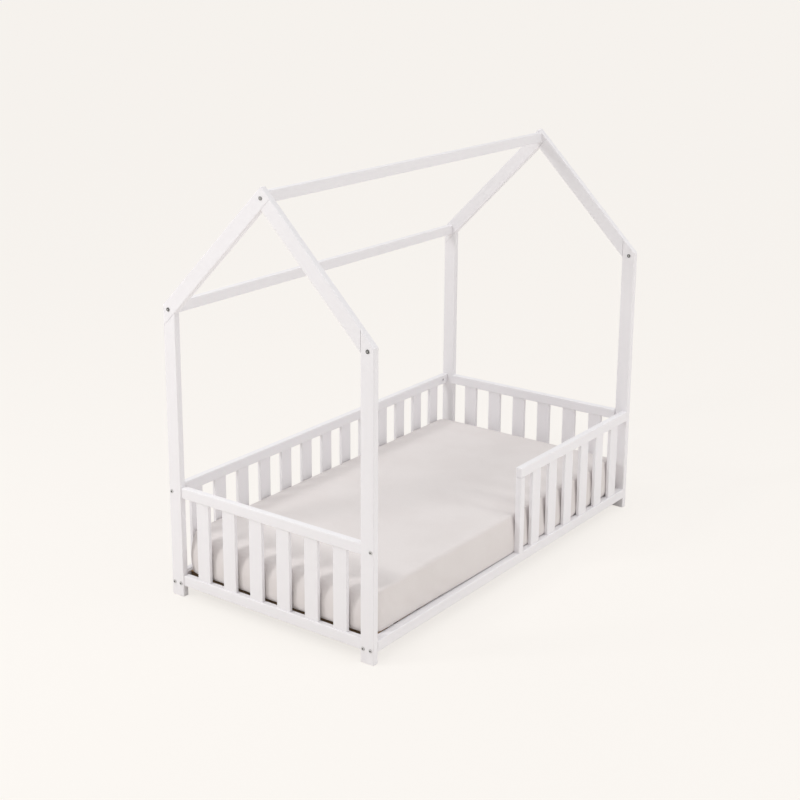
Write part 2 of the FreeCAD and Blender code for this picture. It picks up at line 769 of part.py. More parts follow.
def timber_frame():
    """All the timber, the posts and roof first, then the two ends, the two sides and the guard."""
    pieces = []
    for end, end_name in ((-1, "foot"), (1, "head")):
        for side, side_name in ((-1, "left"), (1, "right")):
            pieces.append(post(f"{end_name}_{side_name}_post", end, side))
            pieces.append(rafter(f"{end_name}_{side_name}_rafter", end, side))
    pieces.append(beam("ridge_beam", "0", "apex_bolt_height"))
    pieces.append(beam("left_eaves_beam", "-eaves_line", "eaves_bolt_height"))
    for end, name in ((-1, "foot"), (1, "head")):
        pieces.append(end_rail(f"{name}_top_rail", end, True))
        pieces.append(end_rail(f"{name}_bottom_rail", end, False))
        for number in range(round(worth("end_slat_count"))):
            x = slat_place("end_run", "end_slat_count", number)
            pieces.append(slat(f"{name}_slat_{number + 1}", x, signed(end, "end_rail_line"), 0))
    pieces.append(side_rail("left_top_rail", -1, True))
    pieces.append(side_rail("left_bottom_rail", -1, False))
    for number in range(round(worth("side_slat_count"))):
        y = slat_place("side_run", "side_slat_count", number)
        pieces.append(slat(f"left_slat_{number + 1}", "-rail_line", y, 90))
    pieces.append(side_rail("right_bottom_rail", 1, False))
    pieces.append(guard_top_rail("right_guard_top_rail"))
    pieces.append(guard_end_post("right_guard_end_post"))
    for number in range(round(worth("guard_slat_count"))):
        y = f"guard_middle + {slat_place('guard_run', 'guard_slat_count', number)}"
        pieces.append(slat(f"right_guard_slat_{number + 1}", "rail_line", y, 90))
    for side, name in ((-1, "left"), (1, "right")):
        pieces.append(ledger(f"{name}_ledger", side))
    return pieces


def checked(pieces):
    """Recompute the whole bed and stop if any feature failed or any piece is not a sound solid."""
    doc.recompute()
    for item in doc.Objects:
        if "Invalid" in item.State or "Error" in item.State:
            raise RuntimeError(f"{item.Label} failed: {item.State}")
    for piece in pieces:
        if piece.Shape.isNull() or not piece.Shape.isValid() or not piece.Shape.Solids:
            raise RuntimeError(f"{piece.Label} is not a sound solid")
    return pieces


def write(pieces):
    """Write each piece to its own file."""
    os.makedirs("parts", exist_ok=True)
    for piece in pieces:
        piece.Shape.exportStep(f"parts/{piece.Label}.step")
        print(f"{piece.Label}: {len(piece.Shape.Solids)} solid, {piece.Shape.Volume / 1000:.1f} cm3")


bed = timber_frame()
bed += bed_base()
bed += fasteners()
bed.append(dowels())
bed.append(mattress_core("mattress_core"))
bed.append(fitted_sheet("fitted_sheet"))
write(checked(bed))
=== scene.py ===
import math

import bpy
import numpy as np
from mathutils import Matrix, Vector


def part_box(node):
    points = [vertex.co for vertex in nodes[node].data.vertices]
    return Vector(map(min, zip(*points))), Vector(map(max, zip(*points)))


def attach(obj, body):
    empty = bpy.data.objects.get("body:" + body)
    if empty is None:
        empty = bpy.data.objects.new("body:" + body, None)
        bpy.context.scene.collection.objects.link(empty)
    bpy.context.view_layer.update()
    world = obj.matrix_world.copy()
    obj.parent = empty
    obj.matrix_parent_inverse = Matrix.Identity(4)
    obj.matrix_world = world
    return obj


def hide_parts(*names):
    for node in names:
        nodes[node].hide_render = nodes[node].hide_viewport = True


# House frame bed: looks of the painted frame, the slatted base and the mattress in its sheet.
# Metres. X runs across the bed, Y along it from the foot end to the head end, Z up.

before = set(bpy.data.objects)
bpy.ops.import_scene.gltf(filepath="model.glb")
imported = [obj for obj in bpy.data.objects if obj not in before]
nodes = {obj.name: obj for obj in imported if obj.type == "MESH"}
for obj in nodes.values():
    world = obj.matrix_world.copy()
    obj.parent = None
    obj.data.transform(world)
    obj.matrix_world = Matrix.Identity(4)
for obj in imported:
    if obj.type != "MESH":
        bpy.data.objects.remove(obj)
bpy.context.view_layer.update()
scene = bpy.context.scene

# Sizes of the bed that the looks need, read from the model where it has them
CORE_LOW, CORE_HIGH = (np.array(corner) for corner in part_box("mattress_core"))
SHEET_LOW, SHEET_HIGH = (np.array(corner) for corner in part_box("fitted_sheet"))
TAPE_LOW, TAPE_HIGH = (np.array(corner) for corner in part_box("slat_straps"))
SLOPE = math.radians(45.28)
SLAT_COUNT = 13
SLAT_WIDTH = 0.070
HEM = 0.110
TAPE_HALF_WIDTH = 0.0125
TAPE_HALF_THICKNESS = 0.0005
GUARD_POST_Y = sum(corner[1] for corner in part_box("right_guard_end_post")) / 2

# Bolts: their axes, as distance from the bed's middle and height, the radii between which the
# painted shade of the socket and of the rim fades, and the heights between which their colour turns
# into the painted shade of the roof bolts and of the apex bolt
BOLT_AXES = (
    (0.0, 1.436), (0.411, 1.021), (0.423, 0.381), (0.423, 0.049), (0.394, 0.049),
)
SOCKET_FADE = (0.0035, 0.0026)
RIM_FADE_IN = (0.0048, 0.0058)
RIM_FADE_OUT = (0.0090, 0.0080)
ROOF_LEVEL = (0.80, 0.90)
APEX_LEVEL = (1.15, 1.30)

# Mattress and sheet: heights of the upper rim over the foot, steps of the grid, the mattress's
# distance inside its solid, the least radius of a ring under it, and how far its underside is
# lifted at the hem
CORE_HEIGHT = 0.142
SHEET_HEIGHT = 0.1447
CORE_STEP = 0.020
SHEET_STEP = 0.010
CORE_INSET = 0.0025
LEAST_RADIUS = 0.012
HEM_LIFT = 0.003
HEM_FADE = 0.020

# Pushes of the filling, outwards: the entry side at its foot end and further on, the foot end, the
# others, and the spread just above the base slats of all but the foot end
ENTRY_PUSH = (0.0045, 0.0138)
FOOT_PUSH = 0.0050
SIDE_PUSH = 0.0040
LOW_PUSH = 0.0038
POST_DENT = 0.0018
POST_DENT_REACH = 0.030

# Rounding of both ends: how far the top falls over its last stretch, and how far the upper part
# leans back
END_DROP = 0.0130
END_STRETCH = 0.060
END_LEAN = 0.025
LEAN_STRETCH = 0.140

# How far the foot end turns in above the base slats
FOOT_TUCK = 0.0065

# Hollow in the top where the guard's post presses the side: its place across, depth and radius
HOLLOW_X = 0.335
HOLLOW_DEPTH = 0.0085
HOLLOW_RADIUS = 0.060

# Turns of the sheet: upper edge, lower edge and upright corners, and those of the mattress under it
SHEET_TURNS = (0.0100, 0.0085, 0.062)
CORE_TURNS = (0.0085, 0.0075, 0.060)

# How far the cloth may leave its worked-out shape: inwards, outwards and aside
CORE_LIMITS = (0.0012, 0.0008, 0.0008)
SHEET_LIMITS = (0.0008, 0.0024, 0.0018)
CLOTH_THICKNESS = 0.0008
CLOTH_GAP = 0.0015

# Elastic hem: step along it, height over the sheet's edge, pitch of the gathers, half width and
# half height, and the sides of its profile
HEM_STEP = 0.0020
HEM_RISE = 0.0014
HEM_GATHER = 0.0083
HEM_HALF_WIDTH = 0.0042
HEM_HALF_HEIGHT = 0.0011
HEM_SIDES = 10

# Corner seams: step along them, height over the sheet, pitch of the stitches, and the half width
# and half height at a stitch with what they grow by between two
SEAM_STEP = 0.0008
SEAM_RISE = 0.0003
SEAM_STITCH = 0.0032
SEAM_HALF_WIDTHS = (0.0014, 0.0002)
SEAM_HALF_HEIGHTS = (0.0005, 0.00025)
SEAM_SIDES = 8

# Tapes: depth of the middle plane under the slats, sag between two of them, sides of the profile
# and steps from slat to slat
TAPE_DEPTH = 0.0006
TAPE_SAG = 0.0022
TAPE_SIDES = 24
TAPE_STEPS = 24

# Staples: radius of the wire, and their distance from the middle of a slat, and of an end slat
STAPLE_RADIUS = 0.0005
STAPLE_OFFSET = 0.018
STAPLE_END_OFFSET = 0.012

# Pitches of the cloths: warp and weft of the cotton, the quilting, and the tape's ribs and threads
WEAVE_PITCHES = (0.00042, 0.00046)
QUILT_PITCH = 0.075
TAPE_RIB = 0.0011
TAPE_THREAD = 0.0008

# Colours, in linear light
CREAM = (0.955, 0.921, 0.880)
CREAM_CLOUD = (0.930, 0.900, 0.860)
SKY = (1.000, 0.995, 1.000)
PAINT = (0.868, 0.850, 0.868)
PAINT_WORN = (0.800, 0.775, 0.765)
PINE_EARLY = (0.610, 0.435, 0.262)
PINE_LATE = (0.430, 0.255, 0.120)
BEECH = (0.600, 0.390, 0.230)
BEECH_LATE = (0.420, 0.250, 0.140)
ZINC = (0.660, 0.662, 0.668)
ZINC_CLOUDY = (0.540, 0.535, 0.525)
# Painted shade and highlight of the bolts: the rim of each head, the socket, and the darker roof
# bolts with their lighter socket
ZINC_RIM_SHADE = (0.200, 0.195, 0.190)
SOCKET_SHADE = (0.030, 0.029, 0.028)
ROOF_BOLT_SHADE = (0.125, 0.125, 0.122)
APEX_BOLT_SHADE = (0.300, 0.300, 0.295)
ROOF_SOCKET_HIGHLIGHT = (0.500, 0.500, 0.490)
COTTON = (0.765, 0.722, 0.708)
COTTON_DEEP = (0.700, 0.650, 0.632)
COTTON_SLUB = (0.840, 0.800, 0.780)
COTTON_SHADE = (0.550, 0.490, 0.470)
TICKING = (0.790, 0.775, 0.745)
TICKING_SEAM_SHADE = (0.560, 0.545, 0.520)
TICKING_CLOUD = (0.700, 0.690, 0.670)
WEBBING = (0.740, 0.715, 0.665)
WEBBING_SHADE = (0.450, 0.420, 0.370)
WEBBING_CLOUD = (0.620, 0.590, 0.530)
STEEL_DARK = (0.500, 0.500, 0.500)
STEEL_BRIGHT = (0.680, 0.680, 0.670)

# Light and floor: the world's level, the share of the floor that glows to the camera, and its reach
WORLD_LEVEL = 0.40
FLOOR_GLOW = 0.80
FLOOR_REACH = 60.0


# Materials

class Finish:
    """A node material in the making. add() makes a node, sets it up and links or fills its inputs.

    In its inputs i0, i1 and so on stand for a number, and a name's underscore for a space."""

    def __init__(self, name):
        self.material = bpy.data.materials.new(name)
        self.material.use_nodes = True
        self.tree = self.material.node_tree
        self.shader = self.tree.nodes["Principled BSDF"]

    def put(self, socket, value):
        if isinstance(value, bpy.types.NodeSocket):
            self.tree.links.new(value, socket)
        elif socket.type == "RGBA" and len(value) == 3:
            socket.default_value = (*value, 1)
        else:
            socket.default_value = value

    def add(self, kind, result=0, settings=(), **inputs):
        node = self.tree.nodes.new("ShaderNode" + kind)
        for name, value in dict(settings).items():
            setattr(node, name, value)
        for name, value in inputs.items():
            key = int(name[1:]) if name[1:].isdigit() else name.replace("_", " ")
            self.put(node.inputs[key], value)
        return node.outputs[result]

    def sum(self, operation, *values):
        inputs = {f"i{n}": value for n, value in enumerate(values)}
        return self.add("Math", settings={"operation": operation}, **inputs)

    def place(self, turn=(0, 0, 0), scale=(1, 1, 1), source="Object"):
        """Coordinates of the piece in metres, turned first and stretched after."""
        point = self.add("TexCoord", source)
        if any(turn):
            point = self.add("Mapping", Vector=point, Rotation=turn)
        return self.add("Mapping", Vector=point, Scale=scale)

    def noise(self, point, scale, detail=2.0, roughness=0.5, result=0):
        return self.add(
            "TexNoise", result, Vector=point, Scale=scale, Detail=detail, Roughness=roughness,
        )

    def axes(self, vector):
        """The three parts of a vector."""
        node = self.tree.nodes.new("ShaderNodeSeparateXYZ")
        self.put(node.inputs[0], vector)
        return node.outputs

    def stripes(self, value, pitch):
        """Rounded stripes across a value: the size of sin(pi value / pitch)."""
        return self.sum("ABSOLUTE", self.sum("SINE", self.sum("MULTIPLY", value, math.pi / pitch)))

    def between(self, value, low, high, out_low=0.0, out_high=1.0):
        """Smooth step of a value from one range to another."""
        return self.add(
            "MapRange", settings={"interpolation_type": "SMOOTHSTEP"},
            i0=value, i1=low, i2=high, i3=out_low, i4=out_high,
        )

    def mix(self, share, first, second):
        node = self.tree.nodes.new("ShaderNodeMix")
        node.data_type = "RGBA"
        self.put(node.inputs[0], share)
        self.put(node.inputs[6], first)
        self.put(node.inputs[7], second)
        return node.outputs[2]

    def bump(self, height, distance, strength, normal=None):
        inputs = {"Height": height, "Distance": distance, "Strength": strength}
        if normal is not None:
            inputs["Normal"] = normal
        return self.add("Bump", **inputs)

    def finish(self, **inputs):
        for name, value in inputs.items():
            self.put(self.shader.inputs[name.replace("_", " ")], value)
        return self.material


GRAIN_TURNS = {"left_slope": (0, SLOPE, 0), "right_slope": (0, -SLOPE, 0)}
GRAIN_SCALES = {
    "x": (0.045, 1, 1), "y": (1, 0.045, 1), "z": (1, 1, 0.045),
    "left_slope": (0.045, 1, 1), "right_slope": (0.045, 1, 1),
}


def painted_wood(grain):
    """Satin white paint on planed pine. The grain under it shows as faint long streaks and as a
    slight relief; on the eased edges, where the normal leaves the axes, the paint is thinner and
    smoother."""
    f = Finish(f"white_paint_grain_{grain}")
    turn = GRAIN_TURNS.get(grain, (0, 0, 0))
    along = f.place(turn, GRAIN_SCALES[grain])
    level = f.place(turn)
    streaks = f.noise(along, 85.0, 6.0, 0.62)
    pores = f.noise(along, 900.0, 3.0, 0.6)
    peel = f.noise(level, 620.0, 2.0)
    cloud = f.noise(level, 3.2, 3.0)
    normal = f.add("NewGeometry", "Normal")
    if any(turn):
        about_y = {"rotation_type": "Y_AXIS"}
        normal = f.add("VectorRotate", settings=about_y, Vector=normal, Angle=turn[1])
    parts = f.axes(normal)
    widest = f.sum("ABSOLUTE", parts[0])
    for n in (1, 2):
        widest = f.sum("MAXIMUM", widest, f.sum("ABSOLUTE", parts[n]))
    edge = f.between(widest, 0.99, 0.80)
    worn = f.sum("MULTIPLY", edge, f.between(f.noise(level, 34.0, 4.0, 0.65), 0.50, 0.72))
    tone = f.mix(f.between(streaks, 0.42, 0.70, 0.0, 0.10), PAINT, PAINT_WORN)
    tone = f.mix(f.between(cloud, 0.40, 0.68, 0.0, 0.07), tone, PAINT_WORN)
    tone = f.mix(f.sum("MULTIPLY", worn, 0.35), tone, PAINT_WORN)
    height = f.sum("ADD", f.sum("MULTIPLY", streaks, 0.55), f.sum("MULTIPLY", pores, 0.18))
    height = f.sum("ADD", height, f.sum("MULTIPLY", peel, 0.12))
    rough = f.between(f.noise(level, 46.0, 4.0), 0.3, 0.7, 0.38, 0.50)
    rough = f.sum("SUBTRACT", rough, f.sum("MULTIPLY", edge, 0.06))
    return f.finish(
        Base_Color=tone, Roughness=rough, Normal=f.bump(height, 0.00012, 0.45),
        Specular_IOR_Level=0.42, Coat_Weight=0.08, Coat_Roughness=0.22,
    )


def bare_wood(name, early, late, grain, ring, rough, sawn_shade):
    """Unpainted timber: growth rings about the grain's axis, wavered by noise, with fine pores and
    a few dark knots. The narrow sides, which face along Y, are rougher, as the saw left them, and
    darkened to near black by the share given last, as painted shade."""
    f = Finish(name)
    along = f.place((0, 0, 0), GRAIN_SCALES[grain])
    waver = f.noise(along, 9.0, 3.0, 0.5, "Color")
    bent = f.add(
        "VectorMath", settings={"operation": "MULTIPLY_ADD"},
        i0=waver, i1=(0.05, 0.05, 0.05), i2=along,
    )
    rings = f.add(
        "TexWave", settings={"wave_type": "RINGS", "rings_direction": grain.upper()},
        Vector=bent, Scale=ring, Distortion=1.6, Detail=3.0, Detail_Scale=2.0,
    )
    bands = f.between(rings, 0.25, 0.95)
    pores = f.noise(along, 1100.0, 2.0, 0.6)
    cells = f.add("TexVoronoi", 0, Vector=along, Scale=11.0)
    knot = f.between(cells, 0.13, 0.03)
    tone = f.mix(f.sum("MULTIPLY", bands, 0.55), early, late)
    tone = f.mix(f.between(pores, 0.52, 0.78, 0.0, 0.30), tone, late)
    tone = f.mix(f.sum("MULTIPLY", knot, 0.75), tone, tuple(0.45 * part for part in late))
    tone = f.mix(f.between(f.noise(f.place(), 2.6, 2.0), 0.35, 0.7, 0.0, 0.25), tone, early)
    sideways = f.sum("ABSOLUTE", f.axes(f.add("NewGeometry", "Normal"))[1])
    narrow = f.sum("MULTIPLY", f.between(sideways, 0.80, 0.95), sawn_shade)
    # Painted shade: the narrow sides, which face along Y, turn nearly black
    tone = f.mix(narrow, tone, tuple(0.22 * part for part in late))
    height = f.sum("ADD", f.sum("MULTIPLY", bands, 0.5), f.sum("MULTIPLY", pores, 0.35))
    planed = f.between(bands, 0.0, 1.0, rough, rough - 0.10)
    return f.finish(
        Base_Color=tone, Roughness=f.sum("ADD", planed, f.sum("MULTIPLY", narrow, 0.2)),
        Normal=f.bump(height, 0.0003, 0.6), Specular_IOR_Level=0.35,
    )


def zinc_plate():
    """Bright zinc on turned steel: cloudy plate and fine scratches, with painted shade in and round
    the sockets, within 3.5 mm of the axis of a bolt, and a ring of painted shade on the chamfer
    round each head. The bolts of the roof are painted darker instead, as shade, paler at the apex,
    with a painted highlight in the socket."""
    f = Finish("zinc_plate_satin")
    level = f.place()
    cloud = f.noise(level, 140.0, 4.0, 0.6)
    scratch = f.noise(f.place(scale=(1, 1, 0.06)), 2600.0, 2.0)
    across, _, up = f.axes(level)
    flat = f.add("CombineXYZ", X=f.sum("ABSOLUTE", across), Z=up)
    away = 1.0
    for x, z in BOLT_AXES:
        from_axis = f.add("VectorMath", "Value", {"operation": "DISTANCE"}, i0=flat, i1=(x, 0, z))
        away = f.sum("MINIMUM", from_axis, away)
    # Painted shade in and round the socket of each bolt, within 3.5 mm of its axis
    socket_shade = f.between(away, *SOCKET_FADE)
    # Painted shade on the chamfer round each head, a ring about 5 to 9 mm off the axis
    rim = f.sum("MULTIPLY", f.between(away, *RIM_FADE_IN), f.between(away, *RIM_FADE_OUT))
    tone = f.mix(f.between(cloud, 0.35, 0.7, 0.0, 0.5), ZINC, ZINC_CLOUDY)
    tone = f.mix(f.sum("MULTIPLY", rim, 0.32), tone, ZINC_RIM_SHADE)
    tone = f.mix(f.sum("MULTIPLY", socket_shade, 0.97), tone, SOCKET_SHADE)
    # Painted shade on the roof bolts, paler at the apex, with a painted highlight in their sockets
    roof_shade = f.mix(f.between(up, *APEX_LEVEL), ROOF_BOLT_SHADE, APEX_BOLT_SHADE)
    tone = f.mix(f.between(up, *ROOF_LEVEL), tone, f.mix(socket_shade, roof_shade, ROOF_SOCKET_HIGHLIGHT))
    rough = f.sum("ADD", f.between(cloud, 0.3, 0.7, 0.30, 0.44), f.sum("MULTIPLY", socket_shade, 0.3))
    metal = f.sum("SUBTRACT", 1.0, f.sum("MULTIPLY", socket_shade, 0.8))
    return f.finish(
        Base_Color=tone, Metallic=metal, Roughness=rough, Normal=f.bump(scratch, 0.00004, 0.4),
    )


def steel_wire():
    """Drawn steel wire of the staples, bright along its length."""
    f = Finish("staple_wire")
    cloud = f.noise(f.place(scale=(0.1, 1, 1)), 900.0, 3.0)
    return f.finish(
        Base_Color=f.mix(cloud, STEEL_DARK, STEEL_BRIGHT), Metallic=1.0,
        Roughness=f.between(cloud, 0.3, 0.7, 0.25, 0.4),
    )


def threads(f):
    """Height of a plain weave: warp and weft are two rows of rounded threads, sin(pi u / pitch),
    and the sign of their product picks which of them lies on top."""
    parts = f.axes(f.place(source="UV"))
    rows = [f.sum("SINE", f.sum("MULTIPLY", parts[n], math.pi / WEAVE_PITCHES[n])) for n in (0, 1)]
    warp, weft = (f.sum("ABSOLUTE", row) for row in rows)
    over = f.between(f.sum("MULTIPLY", *rows), -0.25, 0.25)
    below = f.sum("SUBTRACT", 1.0, over)
    return f.sum("ADD", f.sum("MULTIPLY", warp, over), f.sum("MULTIPLY", weft, below))


def cotton_sheet():
    """Washed plain-weave cotton, warm pale grey with a breath of pink: single threads, thicker slub
    threads here and there, and a soft cloudiness left by pressing."""
    f = Finish("sheet_cotton_weave")
    weave = threads(f)
    slub_u = f.noise(f.place(scale=(2600, 26, 1), source="UV"), 1.0, 1.0)
    slub_v = f.noise(f.place(scale=(26, 2400, 1), source="UV"), 1.0, 1.0)
    slub = f.sum("MAXIMUM", f.between(slub_u, 0.62, 0.80), f.between(slub_v, 0.63, 0.80))
    cloud = f.noise(f.place(), 5.5, 4.0, 0.55)
    crease = f.noise(f.place(), 26.0, 5.0, 0.6)
    tone = f.mix(f.between(cloud, 0.38, 0.66, 0.0, 0.32), COTTON, COTTON_DEEP)
    tone = f.mix(f.sum("MULTIPLY", slub, 0.20), tone, COTTON_SLUB)
    # Painted shade between the threads of the weave
    tone = f.mix(f.between(weave, 0.1, 0.8, 0.16, 0.0), tone, COTTON_SHADE)
    height = f.sum("ADD", f.sum("MULTIPLY", weave, 0.7), f.sum("MULTIPLY", slub, 0.5))
    low = f.bump(crease, 0.0016, 0.35)
    return f.finish(
        Base_Color=tone, Roughness=f.between(cloud, 0.3, 0.7, 0.80, 0.92),
        Normal=f.bump(height, 0.00016, 0.5, low), Sheen_Weight=0.22, Sheen_Roughness=0.45,
        Specular_IOR_Level=0.25,
    )


def hem_cotton():
    """The same cotton on the gathered hem and the folded seams, mottled darker in tone as painted
    shade of the gathers and folds.
    """
    f = Finish("hem_cotton_gathered")
    weave = threads(f)
    cloud = f.noise(f.place(), 60.0, 3.0)
    tone = f.mix(f.between(cloud, 0.35, 0.7, 0.0, 0.5), COTTON, COTTON_DEEP)
    return f.finish(
        Base_Color=tone, Roughness=f.between(cloud, 0.3, 0.7, 0.82, 0.93),
        Normal=f.bump(weave, 0.0002, 0.5), Sheen_Weight=0.2, Specular_IOR_Level=0.25,
    )


def ticking():
    """Knitted mattress cover: fine knit wales, and a quilted diamond relief whose valleys lie where
    one of the two slanted rows of stripes falls to nothing. Painted shade darkens the valleys along
    their stitched seams."""
    f = Finish("ticking_knit_quilted")
    x, y, _ = f.axes(f.place())
    runs = [f.stripes(f.sum(sign, x, y), QUILT_PITCH) for sign in ("ADD", "SUBTRACT")]
    quilt = f.sum("POWER", f.sum("MULTIPLY", *runs), 0.35)
    knit = f.add(
        "TexWave", settings={"wave_type": "BANDS", "bands_direction": "X"},
        Vector=f.place(), Scale=420.0, Distortion=2.0, Detail=1.0,
    )
    cloud = f.noise(f.place(), 12.0, 3.0)
    # Painted shade in the quilting valleys, along the stitched seams
    tone = f.mix(f.between(quilt, 0.0, 0.35, 0.45, 0.0), TICKING, TICKING_SEAM_SHADE)
    tone = f.mix(f.between(cloud, 0.35, 0.7, 0.0, 0.25), tone, TICKING_CLOUD)
    low = f.bump(quilt, 0.004, 0.5)
    return f.finish(
        Base_Color=tone, Roughness=f.between(cloud, 0.3, 0.7, 0.84, 0.95),
        Normal=f.bump(knit, 0.0003, 0.5, low), Sheen_Weight=0.15, Specular_IOR_Level=0.2,
    )


def tape_webbing():
    """Woven cotton tape: a herringbone of leaning ribs that turns at each quarter of the width."""
    f = Finish("tape_webbing_herringbone")
    across, along, _ = f.axes(f.place(source="UV"))
    rib = f.stripes(f.sum("ADD", along, f.sum("PINGPONG", across, TAPE_HALF_WIDTH / 2)), TAPE_RIB)
    thread = f.stripes(across, TAPE_THREAD)
    cloud = f.noise(f.place(), 40.0, 3.0)
    # Painted shade between the ribs of the herringbone
    tone = f.mix(f.between(rib, 0.0, 0.7, 0.40, 0.0), WEBBING, WEBBING_SHADE)
    tone = f.mix(f.between(cloud, 0.35, 0.7, 0.0, 0.25), tone, WEBBING_CLOUD)
    height = f.sum("ADD", rib, f.sum("MULTIPLY", thread, 0.3))
    return f.finish(
        Base_Color=tone, Roughness=f.between(cloud, 0.3, 0.7, 0.82, 0.92),
        Normal=f.bump(height, 0.0004, 0.7), Sheen_Weight=0.1, Specular_IOR_Level=0.25,
    )


# Surfaces

def piece(name, points, faces, material, uv=None, smooth=True):
    """New piece with its place in its mesh. The uv array holds one pair to each point."""
    mesh = bpy.data.meshes.new(name)
    mesh.from_pydata(points, [], faces)
    mesh.polygons.foreach_set("use_smooth", np.full(len(mesh.polygons), smooth))
    if uv is not None:
        corners = np.empty(len(mesh.loops), dtype=np.int32)
        mesh.loops.foreach_get("vertex_index", corners)
        pattern = mesh.uv_layers.new(name="cloth").data
        pattern.foreach_set("uv", uv[corners].ravel().astype(np.float32))
    mesh.materials.append(material)
    mesh.update()
    thing = bpy.data.objects.new(name, mesh)
    scene.collection.objects.link(thing)
    return thing


def grid_faces(rows, columns, closed=False, start=0, looped=False):
    """Quads between neighbouring points of a grid. Its columns may close in a ring, and its rows in
    a loop."""
    i = np.arange(rows if looped else rows - 1)[:, None]
    j = np.arange(columns if closed else columns - 1)[None, :]
    k, m = (j + 1) % columns, (i + 1) % rows
    quads = np.stack([i * columns + j, i * columns + k, m * columns + k, m * columns + j], -1)
    return quads.reshape(-1, 4) + start


def end_faces(rows, sides, start=0):
    """The two faces that close a bar made of rings."""
    last = start + (rows - 1) * sides
    return [list(range(start, start + sides)), list(range(last, last + sides))[::-1]]


def plan(tx, ty, half_x, half_y, corner):
    """Point of a rounded rectangle at two shares from -1 to 1 of its half sizes.

    Inside the corner squares a point (u, v), in shares of the corner, goes to
    (u sqrt(1 - v^2 / 2), v sqrt(1 - u^2 / 2)), which bends the square's outer sides into a quarter
    circle."""
    x, y = tx * half_x, ty * half_y
    u = np.clip((np.abs(x) - (half_x - corner)) / corner, 0, 1)
    v = np.clip((np.abs(y) - (half_y - corner)) / corner, 0, 1)
    both = (u > 0) & (v > 0)
    nx = half_x - corner + corner * u * np.sqrt(1 - v * v / 2)
    ny = half_y - corner + corner * v * np.sqrt(1 - u * u / 2)
    return np.where(both, np.sign(x) * nx, x), np.where(both, np.sign(y) * ny, y)


def smooth_share(value, low, high):
    """Smooth step from 0 at low to 1 at high."""
    t = np.clip((value - low) / (high - low), 0, 1)
    return t * t * (3 - 2 * t)


